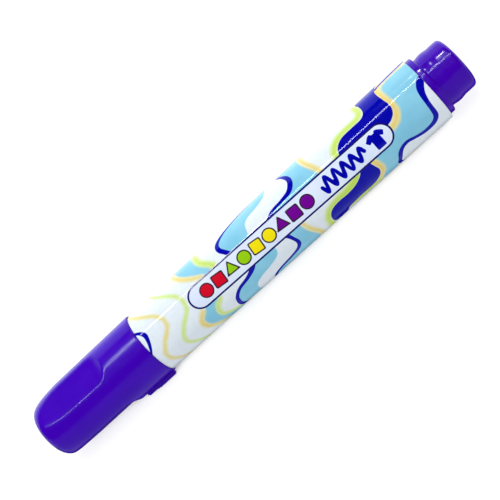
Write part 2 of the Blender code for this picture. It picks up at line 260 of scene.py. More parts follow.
def facet_distance(x):
    """Distance of a facet's surface from the axis: flat, then a round scoop out near the mouth."""
    along = x - FACET_RUNOUT
    if along <= 0.0:
        return FACET_DISTANCE
    if along >= FACET_RUNOUT_RADIUS:
        return FACET_DISTANCE + FACET_RUNOUT_RADIUS
    scoop = math.sqrt(FACET_RUNOUT_RADIUS ** 2 - along ** 2)
    return FACET_DISTANCE + FACET_RUNOUT_RADIUS - scoop


def soft_minimum(a, b, softness):
    """The smaller of two lengths, with a rounded change from one to the other."""
    blend = min(max(0.5 + 0.5 * (b - a) / softness, 0.0), 1.0)
    return b + (a - b) * blend - softness * blend * (1.0 - blend)


def facet_offsets(x, radius):
    """Angles across one third of the cap, close together where a facet meets the round side."""
    edge_band = math.degrees(0.42 / max(radius, 2.0))
    ratio = min(1.0, facet_distance(x) / max(radius, 0.01))
    edge = max(math.degrees(math.acos(ratio)), edge_band + 4.0)
    stops = [-60.0, -edge - edge_band, -edge + edge_band, edge - edge_band, edge + edge_band, 60.0]
    counts = [9, 6, 18, 6, 9]
    offsets = []
    for low, high, count in zip(stops, stops[1:], counts):
        offsets += [low + (high - low) * step / count for step in range(count)]
    return offsets


def cap_ring(x, radius):
    """One ring of the cap's outside, with the facets worked in."""
    ring = []
    for facet in FACET_TURNS:
        for offset in facet_offsets(x, radius):
            flat = facet_distance(x) / math.cos(math.radians(offset))
            ring.append(spot(x, soft_minimum(radius, flat, FACET_EDGE_SOFTNESS), facet + offset))
    return ring


def make_cap():
    """Cap: domed end, three scooped facets, anti-roll rib and the bore with its snap groove."""
    side = []
    x = CAP_END + CAP_TAPER_LENGTH
    while x < CAP_MOUTH - 0.7:
        share = (x - CAP_END - CAP_TAPER_LENGTH) / (CAP_MOUTH - CAP_END - CAP_TAPER_LENGTH)
        side.append((x, CAP_RADIUS + (MOUTH_RADIUS - CAP_RADIUS) * share))
        x += 0.22 if FACET_RUNOUT - 0.5 < x < FACET_RUNOUT + 5.0 else 0.7
    mouth = rounded([
        (CAP_MOUTH - 3.0, MOUTH_RADIUS, 0.0),
        (CAP_MOUTH, MOUTH_RADIUS, 0.32),
        (CAP_MOUTH, MOUTH_RADIUS - 0.95, 0.12),
        (CAP_MOUTH - 0.4, CAP_BORE, 0.0),
    ])[1:]
    outside = cap_end_outline()[:-1] + side + mouth[:5]
    inside = mouth[5:] + rounded([
        (CAP_MOUTH - 0.4, CAP_BORE, 0.0),
        (CAP_MOUTH - 1.9, CAP_BORE, 0.3),
        (CAP_MOUTH - 2.4, CAP_BORE + 0.17, 0.3),
        (CAP_MOUTH - 3.2, CAP_BORE + 0.17, 0.3),
        (CAP_MOUTH - 3.7, CAP_BORE, 0.3),
        (CAP_MOUTH - 9.8, CAP_BORE, 0.3),
        (CAP_MOUTH - 10.8, CAP_INNER_BORE, 0.3),
        (CAP_INNER_START, CAP_INNER_BORE, 0.0),
    ])[1:] + hollow_end(CAP_INNER_START, 5.6, CAP_INNER_BORE, 12)
    rings = [cap_ring(x, radius) for x, radius in outside]
    for x, radius in inside:
        ring = []
        for facet in FACET_TURNS:
            ring += [spot(x, radius, facet + offset) for offset in facet_offsets(CAP_MOUTH, radius)]
        rings.append(ring)
    cap = grid_mesh("cap_moulding", rings)
    rib_start = CAP_MOUTH - 9.2
    rib_step = CAP_MOUTH - 6.3
    rib = straight_bar("anti_roll_rib", [
        (CAP_MOUTH - 0.14, RIB_FOOT),
        (rib_start, RIB_FOOT),
        (rib_start, RIB_LOW),
        (rib_step, RIB_LOW),
        (rib_step + 0.4, RIB_HIGH),
        (CAP_MOUTH - 0.14, RIB_HIGH),
    ], 2.0, RIB_TURN, 0.28)
    join_on(cap, rib)
    smooth(cap)
    return cap


def make_seal():
    """Soft cup inside the cap: its lip closes on the nose."""
    lip = SEAL_HIGH.x
    end = SEAL_LOW.x
    outline = rounded([
        (end + 1.4, 0.0, 0.0),
        (end + 1.4, SEAL_BORE, 1.1),
        (lip - 6.2, SEAL_BORE, 0.4),
        (lip - 5.4, SEAL_LIP_BORE, 0.4),
        (lip - 0.6, SEAL_LIP_BORE, 0.3),
        (lip, SEAL_BORE, 0.25),
        (lip, SEAL_RADIUS, 0.25),
        (lip - 1.6, SEAL_RADIUS, 0.2),
        (lip - 1.9, SEAL_RADIUS - 0.2, 0.2),
        (lip - 2.6, SEAL_RADIUS - 0.2, 0.2),
        (lip - 2.9, SEAL_RADIUS, 0.2),
        (end + 5.25, SEAL_RADIUS, 0.0),
    ])
    seal = lathe("seal_cup", outline + hollow_end(end + 5.25, 5.25, SEAL_RADIUS, 14))
    smooth(seal)
    return seal


def make_barrel():
    """Barrel: tapered tube, neck with snap bead, nose cone and inner ribs."""
    nose_end = BARREL_LOW.x
    neck_end = BARREL_FRONT - 8.6
    bead = BARREL_FRONT - 3.2
    corners = [
        (BARREL_REAR, REAR_RADIUS - LABEL_RECESS, 0.1),
        (BARREL_FRONT, FRONT_RADIUS - LABEL_RECESS, 0.1),
        (BARREL_FRONT, NECK_RADIUS, 0.12),
        (bead + 0.8, NECK_RADIUS, 0.4),
        (bead + 0.2, NECK_RADIUS + NECK_BEAD, 0.4),
        (bead - 0.2, NECK_RADIUS + NECK_BEAD, 0.4),
        (bead - 0.8, NECK_RADIUS, 0.4),
        (neck_end, NECK_RADIUS, 0.55),
        (neck_end, 6.2, 0.25),
        (nose_end + 6.4, NOSE_RADIUS, 0.6),
        (nose_end + 1.4, NOSE_RADIUS, 0.4),
        (nose_end, 3.4, 0.25),
        (nose_end, NIB_HOLE, 0.12),
        (nose_end + 8.5, NIB_HOLE, 0.0),
        (nose_end + 8.5, NIB_HOLE + 1.0, 0.0),
        (neck_end + 0.2, 4.9, 0.3),
        (neck_end + 1.1, NECK_BORE, 0.3),
        (BARREL_FRONT + 0.6, NECK_BORE, 0.3),
        (BARREL_FRONT + 2.4, taper_radius(BARREL_FRONT + 2.4) - LABEL_RECESS - BARREL_WALL, 0.3),
        (BARREL_REAR, taper_radius(BARREL_REAR) - LABEL_RECESS - BARREL_WALL, 0.2),
    ]
    barrel = lathe("barrel_moulding", rounded(corners, closed=True), closed=True)
    for index in range(4):
        rib = straight_bar("inner_rib", [
            (BARREL_REAR - 11.3, 6.45),
            (BARREL_FRONT + 4.2, 6.45),
            (BARREL_FRONT + 4.2, 7.6),
            (BARREL_REAR - 11.3, 8.0),
        ], 0.9, 163.0 + 90.0 * index)
        join_on(barrel, rib)
    smooth(barrel)
    return barrel


def make_plug():
    """Rear plug: domed spigot with a snap bead, collar and hollow skirt."""
    rear = PLUG_HIGH.x
    front = PLUG_LOW.x
    collar = BARREL_REAR + 0.06
    crown = []
    for step in range(18):
        share = math.sin(math.pi / 2 * step / 18)
        turn_in = (1.0 - share ** 4.5) ** (1 / 4.5)
        crown.append((rear - 2.4 * (1 - share), SPIGOT_RADIUS * turn_in))
    crown += [(rear, 2.6), (rear, 1.3), (rear - 0.12, 1.1), (rear - 0.12, 0.0)]
    bead = []
    for step in range(11):
        share = step / 10
        swell = SPIGOT_BEAD * math.sin(math.pi * share)
        bead.append((rear - 4.35 - 3.4 * share, SPIGOT_RADIUS + swell))
    outline = crown[::-1] + bead + rounded([
        (collar + 2.3, SPIGOT_RADIUS, 0.0),
        (collar + 1.6, SPIGOT_RADIUS, 0.3),
        (collar + 1.6, COLLAR_RADIUS, 0.38),
        (collar, COLLAR_RADIUS, 0.15),
        (collar, SKIRT_RADIUS, 0.0),
        (front, SKIRT_RADIUS, 0.6),
        (front, PLUG_BORE, 0.3),
        (collar, PLUG_BORE, 0.2),
        (collar + 1.4, PLUG_BORE - 0.6, 0.2),
        (rear - 1.35, PLUG_BORE - 0.6, 0.9),
        (rear - 1.35, 0.0, 0.0),
    ])
    plug = lathe("plug_moulding", outline)
    smooth(plug)
    return plug


def make_nib():
    """Pressed-fibre nib: bullet tip, ground slightly uneven, and a thinner pointed tail."""
    tip = NIB_LOW.x
    tail = NIB_HIGH.x
    outline = []
    for step in range(15):
        share = math.cos(math.pi / 2 * step / 14)
        turn_in = math.sqrt(max(0.0, 1.0 - share ** 2.0))
        outline.append((tip + 3.6 * (1 - share), NIB_RADIUS * turn_in))
    outline += [(tip + 3.6 + 0.4 * step, NIB_RADIUS) for step in range(1, 30)]
    outline += rounded([
        (tip + 15.25, NIB_RADIUS, 0.0),
        (tail - 11.5, NIB_TAIL_RADIUS, 0.3),
        (tail - 3.0, NIB_TAIL_RADIUS, 0.4),
        (tail, 0.4, 0.1),
        (tail, 0.0, 0.0),
    ])
    nib = lathe("fibre_nib", outline, steps=96)
    for vertex in nib.data.vertices:
        place = vertex.co / MM
        away = Vector((0.0, place.y, place.z - AXIS_HEIGHT))
        if away.length > 0.3:
            angle = math.atan2(away.z, away.y)
            groove = math.sin(23 * angle + 0.9 * math.sin(5 * angle)) * math.sin(31 * angle + 1.7)
            vertex.co -= away.normalized() * (0.03 + 0.03 * groove) * MM
    smooth(nib)
    return nib


def make_core():
    """Fibre rod that holds the ink, with a blind hole for the nib's tail."""
    front = CORE_LOW.x
    rear = CORE_HIGH.x
    core = lathe("ink_reservoir", rounded([
        (rear, 0.0, 0.0),
        (rear, CORE_RADIUS, 0.35),
        (front, CORE_RADIUS, 0.35),
        (front, CORE_HOLE, 0.2),
        (front + 8.0, CORE_HOLE, 0.3),
        (front + 8.0, 0.0, 0.0),
    ]), steps=96)
    smooth(core)
    return core


def make_wrap():
    """Thin film sleeve round the fibre rod."""
    front = WRAP_LOW.x
    rear = WRAP_HIGH.x
    wrap = lathe("reservoir_sleeve", rounded([
        (rear, CORE_RADIUS + 0.21, 0.05),
        (front, CORE_RADIUS + 0.21, 0.05),
        (front, CORE_RADIUS + 0.06, 0.05),
        (rear, CORE_RADIUS + 0.06, 0.05),
    ], closed=True), steps=96, closed=True)
    smooth(wrap)
    return wrap


# ---------------------------------------------------------------- printed pattern
# Curves go through (x, turn) or (x, turn, width) points; widths and x are in millimetres.

YELLOW_LINE = [
    (-28.0, -145), (-30.5, -128), (-32.8, -110), (-33.6, -90), (-33.1, -75), (-31.8, -60),
    (-29.6, -45), (-26.9, -30), (-25.5, -15), (-26.1, 0), (-29.0, 15), (-30.8, 30), (-30.9, 45),
    (-29.7, 60), (-27.2, 78), (-25.8, 97), (-27.4, 116), (-30.3, 135), (-31.2, 155), (-29.3, 175),
    (-26.8, 195), (-26.6, 222),
]
LIME_LINE = [
    (-20.6, -145), (-22.5, -126), (-25.2, -108), (-25.9, -90), (-25.4, -75), (-24.1, -60),
    (-21.9, -45), (-19.7, -30), (-18.9, -15), (-19.6, 0), (-22.6, 15), (-24.7, 30), (-25.0, 43),
    (-23.8, 56), (-21.2, 74), (-19.8, 93), (-21.2, 112), (-24.2, 132), (-25.1, 152), (-23.4, 172),
    (-20.7, 192), (-20.4, 222),
]
MOUTH_ARCS = [
    [(-34.0, -31, 0.6), (-32.7, -26, 0.8), (-31.6, -17, 1.2), (-31.8, -6, 1.0), (-32.7, 7, 0.7),
     (-33.9, 18, 0.5)],
    [(-34.0, 131, 0.6), (-32.7, 136, 0.8), (-31.6, 146, 1.2), (-31.8, 157, 1.0), (-32.7, 169, 0.7),
     (-33.9, 180, 0.5)],
]

# First stream of light blue, with a yellow left edge and a lime right edge
STREAM_1_LEFT = [
    (-13.5, -145), (-12.6, -128), (-13.6, -114), (-16.0, -101), (-17.2, -88), (-17.1, -74),
    (-16.5, -60), (-15.2, -47), (-12.8, -34), (-10.6, -24), (-10.4, -10), (-14.0, 12), (-16.8, 22),
    (-18.1, 31), (-18.4, 40), (-17.8, 52), (-16.0, 66), (-13.2, 82), (-12.0, 100), (-14.0, 120),
    (-17.2, 138), (-18.0, 157), (-16.2, 176), (-12.6, 195), (-12.2, 222),
]
STREAM_1_RIGHT = [
    (-8.0, -145), (-6.8, -128), (-7.4, -114), (-9.6, -101), (-11.2, -88), (-11.4, -74),
    (-11.2, -60), (-10.8, -47), (-9.2, -34), (-8.4, -24), (-8.2, -10), (-9.4, 12), (-12.4, 25),
    (-14.4, 34), (-14.7, 43), (-14.0, 54), (-11.4, 67), (-7.4, 82), (-6.0, 100), (-8.4, 120),
    (-12.6, 138), (-13.6, 157), (-11.0, 176), (-6.6, 195), (-5.8, 222),
]

# Second stream, with a navy left edge
STREAM_2_LEFT = [
    (5.0, -145, 1.1), (6.0, -132, 1.1), (9.0, -122, 1.2), (12.0, -112, 1.2), (12.4, -101, 1.1),
    (10.4, -91, 1.0), (7.4, -83, 0.9), (4.0, -75, 0.8), (0.4, -67, 0.8), (-2.4, -58, 1.0),
    (-4.0, -48, 1.2), (-4.1, -37, 1.3), (-3.2, -27, 1.2), (-2.3, -18, 1.2), (-0.6, -4, 1.2),
    (0.6, 10, 1.2), (-0.7, 21, 1.3), (-3.3, 29, 1.0), (-6.6, 34, 0.9), (-8.5, 43, 1.0),
    (-9.1, 53, 1.1), (-9.2, 63, 1.1), (-8.6, 75, 1.1), (-6.4, 87, 1.0), (-2.7, 97, 1.0),
    (-0.6, 108, 1.2), (-1.2, 121, 1.2), (-4.5, 131, 1.0), (-7.8, 139, 1.0), (-9.0, 151, 1.2),
    (-8.4, 164, 1.2), (-5.8, 175, 1.0), (-2.0, 184, 1.0), (-0.2, 196, 1.2), (-0.6, 222, 1.2),
]
STREAM_2_RIGHT = [
    (10.8, -145), (12.8, -131), (16.2, -120), (17.4, -108), (16.8, -97), (15.0, -87), (13.6, -78),
    (13.1, -68), (12.2, -59), (9.6, -52), (6.4, -48), (4.8, -41), (4.2, -30), (3.8, -18),
    (4.2, 0), (6.0, 16), (6.4, 27), (5.4, 36), (2.6, 42), (-0.6, 46), (-2.6, 52), (-3.3, 62),
    (-3.0, 76), (-0.8, 88), (3.0, 97), (5.4, 108), (5.4, 121), (2.6, 130), (-1.2, 138),
    (-3.0, 149), (-2.4, 163), (0.6, 174), (4.6, 184), (6.2, 196), (5.8, 222),
]

# Third stream, with a navy left edge and a yellow right edge
STREAM_3_LEFT = [
    (22.0, -145, 1.2), (23.6, -134, 1.2), (25.4, -122, 1.2), (24.6, -111, 1.1), (21.4, -102, 1.0),
    (18.6, -93, 0.9), (17.5, -84, 0.9), (18.0, -74, 0.9), (18.9, -64, 1.0), (19.6, -54, 1.2),
    (19.8, -45, 1.4), (19.2, -36, 1.5), (17.9, -29, 1.3), (15.4, -26, 0.9), (12.6, -24.5, 0.8),
    (10.9, -21, 0.9), (9.0, -12, 0.9), (9.2, 8, 0.9), (10.7, 24, 1.0), (11.2, 33, 0.9),
    (11.5, 42, 1.0), (11.2, 50, 1.1), (10.0, 57, 1.1), (7.4, 61.5, 1.0), (4.4, 65, 1.0),
    (2.3, 71, 1.0), (1.5, 80, 1.0), (2.8, 90, 1.0), (6.4, 99, 1.0), (9.6, 108, 1.2),
    (10.6, 119, 1.2), (9.4, 130, 1.1), (5.8, 137, 1.0), (2.4, 144, 1.0), (1.2, 155, 1.2),
    (2.4, 167, 1.2), (6.4, 176, 1.0), (10.2, 185, 1.0), (11.4, 197, 1.2), (10.6, 222, 1.2),
]
STREAM_3_RIGHT = [
    (29.6, -145), (31.2, -134), (32.8, -122), (31.8, -111), (28.6, -101), (25.6, -92),
    (24.3, -82), (24.1, -70), (24.2, -57), (24.7, -44), (25.5, -32), (26.4, -19), (20.0, 0),
    (15.0, 18), (14.8, 28), (15.1, 38), (15.6, 49), (16.3, 60), (16.6, 71), (16.4, 82),
    (17.4, 92), (19.8, 101), (21.4, 112), (20.8, 124), (18.2, 134), (16.0, 144), (15.6, 156),
    (17.2, 168), (20.4, 178), (22.4, 188), (22.6, 200), (21.0, 222),
]

# Navy shapes with closed outlines
UPPER_BLOB = [
    (33.0, -8), (32.9, -19), (34.0, -29), (36.0, -35.5), (39.4, -36.3), (42.0, -36.3),
    (43.4, -41), (43.9, -50), (43.8, -62), (43.4, -76), (44.0, -90), (46.4, -102), (47.4, -114),
    (45.6, -127), (43.0, -145), (49.6, -145), (52.6, -130), (54.6, -115), (53.6, -100),
    (51.4, -88), (49.9, -76), (49.1, -64), (48.9, -50), (49.2, -34), (49.5, -20), (48.9, -9),
    (47.4, -2), (45.4, 1), (41.0, 6), (36.0, 4),
]
LOWER_BLOB = [
    (33.8, 16), (33.6, 26), (32.4, 32.5), (30.4, 37.5), (27.9, 39.3), (25.2, 38.4), (23.0, 41),
    (21.7, 48), (21.2, 58), (21.3, 70), (22.2, 80), (24.0, 83), (25.4, 78), (26.2, 70),
    (27.8, 67.5), (30.4, 65.8), (33.0, 66.6), (35.4, 64), (37.0, 56), (37.6, 46), (37.3, 36),
    (36.9, 26), (36.8, 16),
]
BACK_BLOB = [
    (30.2, 118), (30.8, 108), (33.4, 102.5), (37.2, 103), (40.6, 101), (44.0, 103), (45.8, 111),
    (44.8, 120), (41.6, 126), (40.2, 135), (38.6, 145), (35.4, 149), (32.4, 145), (31.4, 136),
    (30.6, 127),
]
BACK_SWIRL = [
    (27.6, 222), (26.8, 206), (27.6, 193), (30.6, 184), (35.0, 182), (38.6, 186), (40.2, 195),
    (39.4, 206), (38.0, 222),
]

# Navy line at the rear, between light blue and white
REAR_LINES = [
    [(60.2, -21, 1.4), (58.8, -17.5, 1.8), (57.5, -9, 1.9), (56.8, 1, 1.5), (56.4, 15, 1.15),
     (56.2, 30, 1.2), (55.9, 42, 1.4), (54.5, 50.5, 1.5), (51.8, 52, 1.2), (49.2, 47.5, 0.95),
     (47.1, 42.6, 1.0), (45.4, 43.6, 1.1), (44.0, 50, 1.3), (43.2, 60, 1.25), (42.5, 72, 1.2),
     (43.6, 84, 1.1), (47.0, 90, 1.0), (51.0, 91, 1.0), (54.0, 96, 1.1), (56.0, 104, 1.3),
     (60.2, 109, 1.5)],
    [(60.2, 128, 1.4), (57.9, 133, 1.7), (56.6, 143, 1.3), (56.0, 156, 1.15), (54.8, 167, 1.4),
     (52.0, 171, 1.2), (49.0, 168, 1.0), (46.6, 168, 1.1), (45.0, 176, 1.3), (44.6, 190, 1.2),
     (46.0, 204, 1.2), (46.4, 222, 1.2)],
    [(49.6, -66, 0.7), (50.8, -70, 1.0), (54.6, -73, 1.3), (57.2, -73.5, 1.2), (59.0, -74, 0.8)],
]
REAR_BLUE = [
    (46.6, 6), (49.2, 1), (50.3, -10), (50.4, -30), (50.0, -50), (50.4, -58), (51.9, -63),
    (54.6, -65), (57.6, -64), (60.6, -59), (61.0, -40), (60.4, -21), (58.8, -17.5), (57.4, -9),
    (56.7, 1), (56.4, 15), (56.2, 30), (55.9, 42), (54.5, 50.5), (51.8, 52), (49.2, 47.5),
    (47.1, 42.6), (45.4, 43.6), (44.0, 50), (43.2, 60), (42.5, 72), (40.4, 80), (37.0, 76),
    (37.4, 66), (38.4, 57), (38.9, 46), (38.6, 34), (37.8, 22), (41.0, 8),
]
BACK_BLUE = [
    (46.6, 112), (48.4, 104), (52.0, 103), (55.0, 110), (60.6, 114), (60.6, 126), (57.9, 133),
    (56.6, 143), (56.0, 156), (54.8, 167), (52.0, 171), (49.0, 168), (46.6, 168), (44.6, 176),
    (42.0, 172), (40.6, 160), (41.0, 146), (42.2, 134), (45.4, 125),
]

# Soft halos: lime on the left of the navy shapes, yellow on the right
LIME_HALOS = [
    [(32.1, -8, 1.7), (32.1, -20, 1.7), (33.2, -32, 1.7), (35.6, -40.5, 1.7), (39.4, -42, 1.6),
     (41.6, -42.5, 1.5), (42.8, -49, 1.5), (42.9, -62, 1.5), (42.6, -77, 1.5), (43.2, -91, 1.5),
     (45.6, -103, 1.4), (46.6, -114, 1.4), (44.8, -127, 1.4), (42.2, -145, 1.4)],
    [(20.4, 78, 1.3), (20.3, 62, 1.4), (20.8, 50, 1.5), (22.2, 39, 1.5), (25.0, 34.5, 1.6),
     (28.0, 34.5, 1.9), (30.4, 32, 2.2), (32.6, 26, 1.8)],
    [(27.0, 70.5, 1.2), (29.4, 69, 1.7), (33.0, 70, 1.7), (36.2, 68, 1.2)],
    [(29.2, 130, 1.3), (29.3, 116, 1.5), (30.4, 104, 1.6), (33.4, 98.5, 1.6), (38.0, 98.5, 1.5),
     (43.0, 97, 1.3)],
    [(26.6, 222, 1.4), (25.8, 206, 1.5), (26.8, 190, 1.6), (30.2, 179, 1.6), (35.4, 177.5, 1.4)],
    [(-7.4, -145, 0.65), (-6.2, -128, 0.65), (-6.8, -113, 0.65), (-9.0, -101, 0.65),
     (-10.6, -88, 0.75), (-10.55, -74, 1.35), (-10.35, -60, 1.35), (-9.85, -46, 1.35), (-8.35, -33, 1.35),
     (-7.45, -24, 1.35)],
    [(-11.6, 23, 0.75), (-13.4, 31, 0.85), (-14.1, 42, 0.85), (-13.6, 54, 0.75), (-11.0, 67, 0.65),
     (-7.0, 82, 0.65), (-5.5, 100, 0.65), (-7.9, 120, 0.65), (-12.1, 138, 0.65), (-13.1, 157, 0.65),
     (-10.5, 176, 0.65), (-6.1, 195, 0.65), (-5.3, 222, 0.65)],
]
YELLOW_HALOS = [
    [(50.0, -145, 1.1), (53.1, -130, 1.2), (55.2, -115, 1.2), (54.1, -100, 1.2), (51.9, -88, 1.2),
     (50.4, -76, 1.2), (49.6, -64, 1.3), (49.5, -50, 1.3), (49.7, -34, 1.3), (50.0, -20, 1.3),
     (49.6, -7, 1.4), (48.4, 2, 1.4), (46.7, 6.5, 1.3), (45.3, 8, 0.9)],
    [(50.2, -58, 0.8), (51.4, -65, 0.7), (54.6, -67.5, 0.6), (57.4, -66.5, 0.6), (60.2, -63, 0.7)],
    [(37.2, 20, 1.2), (37.9, 32, 1.3), (38.3, 44, 1.3), (37.9, 55, 1.2), (36.7, 65, 1.1),
     (35.9, 76, 1.1)],
    [(46.6, 103, 1.2), (46.8, 112, 1.3), (45.8, 122, 1.3), (42.6, 130, 1.3), (41.2, 140, 1.2),
     (39.8, 151, 1.1)],
    [(39.4, 181, 1.1), (41.2, 193, 1.3), (40.6, 206, 1.3), (39.0, 222, 1.3)],
    [(-13.9, -145, 0.75), (-13.1, -128, 0.75), (-14.2, -114, 0.75), (-16.7, -101, 0.85),
     (-17.9, -88, 0.95), (-17.9, -74, 0.95), (-17.3, -60, 0.95), (-16.0, -46, 0.95), (-13.6, -32, 0.85),
     (-11.4, -24, 0.65)],
    [(-17.0, 20, 0.85), (-18.6, 29, 0.95), (-19.1, 38, 1.05), (-18.6, 50, 0.95), (-17.0, 62, 0.85),
     (-13.9, 80, 0.75), (-12.6, 100, 0.75), (-14.7, 121, 0.75), (-17.8, 139, 0.75), (-18.6, 157, 0.75),
     (-16.8, 176, 0.75), (-13.2, 195, 0.75), (-12.8, 222, 0.75)],
    [(30.2, -145, 0.85), (31.8, -134, 0.85), (33.4, -122, 0.85), (32.4, -110, 0.85), (29.2, -100, 0.85),
     (26.2, -91, 0.95), (24.9, -80, 0.95), (24.8, -68, 1.05), (25.0, -56, 1.05), (25.5, -44, 0.95),
     (26.2, -32, 0.95), (27.0, -18, 0.95)],
    [(15.2, 22, 0.75), (15.5, 32, 0.75), (16.1, 45, 0.85), (16.9, 58, 0.85), (17.2, 71, 0.75),
     (17.0, 82, 0.75), (18.0, 92, 0.75), (20.4, 101, 0.75), (22.0, 112, 0.75), (21.4, 124, 0.75),
     (18.8, 134, 0.75), (16.6, 144, 0.75), (16.2, 156, 0.75), (17.8, 168, 0.75), (21.0, 178, 0.75),
     (23.0, 188, 0.75), (23.2, 200, 0.75), (21.6, 222, 0.75)],
]

# The pale panel: a long lozenge, set a little askew, with plain marks in it
PANEL_START = (-14.8, -1.6)
PANEL_STOP = (42.9, 5.6)
PANEL_HALF_HEIGHT = 3.28
PANEL_OUTLINE = 0.48
MARK_SPACING = 4.05
MARK_SIZE = 1.9
RED = (0.56, 0.004, 0.02)
LIME = (0.26, 0.53, 0.006)
YELLOW = (0.78, 0.66, 0.006)
PURPLE = (0.14, 0.002, 0.25)
MARKS = [
    ("disc", RED), ("square", RED), ("triangle", LIME), ("disc", LIME), ("square", YELLOW),
    ("disc", YELLOW), ("triangle", PURPLE), ("square", PURPLE), ("disc", PURPLE),
]
SHIRT = [
    (-0.75, -2.1), (-0.4, -1.6), (0.4, -1.6), (0.75, -2.1), (1.35, -1.95), (2.6, -0.95),
    (1.95, -0.05), (1.2, -0.6), (1.2, 2.15), (-1.2, 2.15), (-1.2, -0.6), (-1.95, -0.05),
    (-2.6, -0.95), (-1.35, -1.95),
]


def flat_place(point):
    """Unrolled position in millimetres of an (x, turn) point."""
    return (point[0], math.radians(point[1]) * PRINT_RADIUS)


def curve_through(points, closed=False, spacing=0.35):
    """Smooth Catmull-Rom curve through points of any number of values."""
    nodes = np.array(points, float)
    count = len(nodes)
    traced = []
    for i in range(count if closed else count - 1):
        a, b, c, d = nodes.take(range(i - 1, i + 3), axis=0, mode="wrap" if closed else "clip")
        steps = max(2, int(np.linalg.norm((c - b)[:2]) / spacing))
        for step in range(steps):
            t = step / steps
            bend = 2 * b + (c - a) * t + (2 * a - 5 * b + 4 * c - d) * t ** 2
            traced.append((bend + (3 * b - a - 3 * c + d) * t ** 3) / 2)
    if not closed:
        traced.append(nodes[-1])
    return np.array(traced)


def segment_distance(places, start, stop):
    """Distance from each place to one segment, and the share along it where it is nearest."""
    along = stop[:2] - start[:2]
    offset = places - start[:2]
    share = np.clip(offset @ along / max(along @ along, 1e-9), 0.0, 1.0)
    return np.linalg.norm(offset - share[:, None] * along, axis=1), share


def near(places, curve, reach):
    """Which places lie within reach of a curve's bounding box."""
    low = curve[:, :2].min(0) - reach
    high = curve[:, :2].max(0) + reach
    return np.all((places > low) & (places < high), axis=1)


def stroke_field(places, curve, reach=4.0):
    """Distance outside a stroke whose width is the curve's third value."""
    field = np.full(len(places), reach)
    close = near(places, curve, reach)
    nearby = places[close]
    best = np.full(len(nearby), reach)
    for start, stop in zip(curve, curve[1:]):
        distance, share = segment_distance(nearby, start, stop)
        width = start[2] + (stop[2] - start[2]) * share
        best = np.minimum(best, distance - width / 2)
    field[close] = best
    return field


def area_field(places, curve, reach=4.0):
    """Signed distance to a closed outline: negative inside."""
    field = np.full(len(places), reach)
    close = near(places, curve, reach)
    nearby = places[close]
    best = np.full(len(nearby), reach)
    inside = np.zeros(len(nearby), bool)
    for start, stop in zip(curve, np.roll(curve, -1, axis=0)):
        best = np.minimum(best, segment_distance(nearby, start, stop)[0])
        if start[1] != stop[1]:
            level = (start[1] > nearby[:, 1]) != (stop[1] > nearby[:, 1])
            cross = start[0] + (nearby[:, 1] - start[1]) * (stop[0] - start[0]) / (stop[1] - start[1])
            inside ^= level & (nearby[:, 0] < cross)
    field[close] = np.where(inside, -best, best)
    return field


def flat_curve(points, closed=False, width=1.1):
    """Unrolled curve with widths through (x, turn) or (x, turn, width) points."""
    full = [flat_place(point) + (point[2] if len(point) > 2 else width,) for point in points]
    return curve_through(full, closed)


def stream_area(left, right):
    """Closed outline of the band between two edges."""
    return np.vstack([flat_curve(left), flat_curve(right)[::-1]])


def mark_fields(places):
    """Signed distance to the panel's coloured marks, and the ink of the nearest mark."""
    field = np.full(len(places), 4.0)
    inks = np.zeros((len(places), 4))
    inks[:, 3] = 1.0
    start, stop = (np.array(flat_place(point)) for point in (PANEL_START, PANEL_STOP))
    direction = (stop - start) / np.linalg.norm(stop - start)
    for index, (shape, ink) in enumerate(MARKS):
        centre = start + direction * (2.1 + MARK_SPACING * index)
        offset = places - centre
        tilt = math.radians((-9, 7, 4, -5, 8)[index % 5])
        across = offset[:, 0] * math.cos(tilt) + offset[:, 1] * math.sin(tilt)
        down = offset[:, 1] * math.cos(tilt) - offset[:, 0] * math.sin(tilt)
        if shape == "disc":
            distance = np.hypot(across, down) - MARK_SIZE
        elif shape == "square":
            side = MARK_SIZE * 0.92 - 0.4
            over = np.maximum(np.abs(np.stack([across, down])) - side, 0.0)
            inner = np.minimum(np.maximum(np.abs(across), np.abs(down)) - side, 0.0)
            distance = np.hypot(*over) + inner - 0.4
        else:
            side = MARK_SIZE * 0.62
            slopes = [across * math.sin(math.radians(a)) - down * math.cos(math.radians(a))
                      for a in (0.0, 120.0, 240.0)]
            distance = np.maximum.reduce([-slopes[0], -slopes[1], -slopes[2]]) - side
        nearer = distance < field
        field[nearer] = distance[nearer]
        inks[nearer, :3] = ink
    return field, inks


def sign_field(places):
    """Signed distance to the navy marks in the panel: a pen-test scribble and a small shirt."""
    start, stop = (np.array(flat_place(point)) for point in (PANEL_START, PANEL_STOP))
    direction = (stop - start) / np.linalg.norm(stop - start)
    aside = np.array([-direction[1], direction[0]])
    scribble = []
    for step in range(121):
        share = step / 120
        swing = math.sin(2 * math.pi * 5 * share) * (1.95 - 0.4 * share)
        point = start + direction * (39.4 + 13.2 * share) + aside * swing
        scribble.append((*point, 0.7 + 0.25 * math.cos(2 * math.pi * 5 * share) ** 2))
    centre = start + direction * 56.6
    shirt = np.array([centre + direction * x + aside * y for x, y in SHIRT])
    return np.minimum(stroke_field(places, np.array(scribble)), area_field(places, shirt) - 0.08)


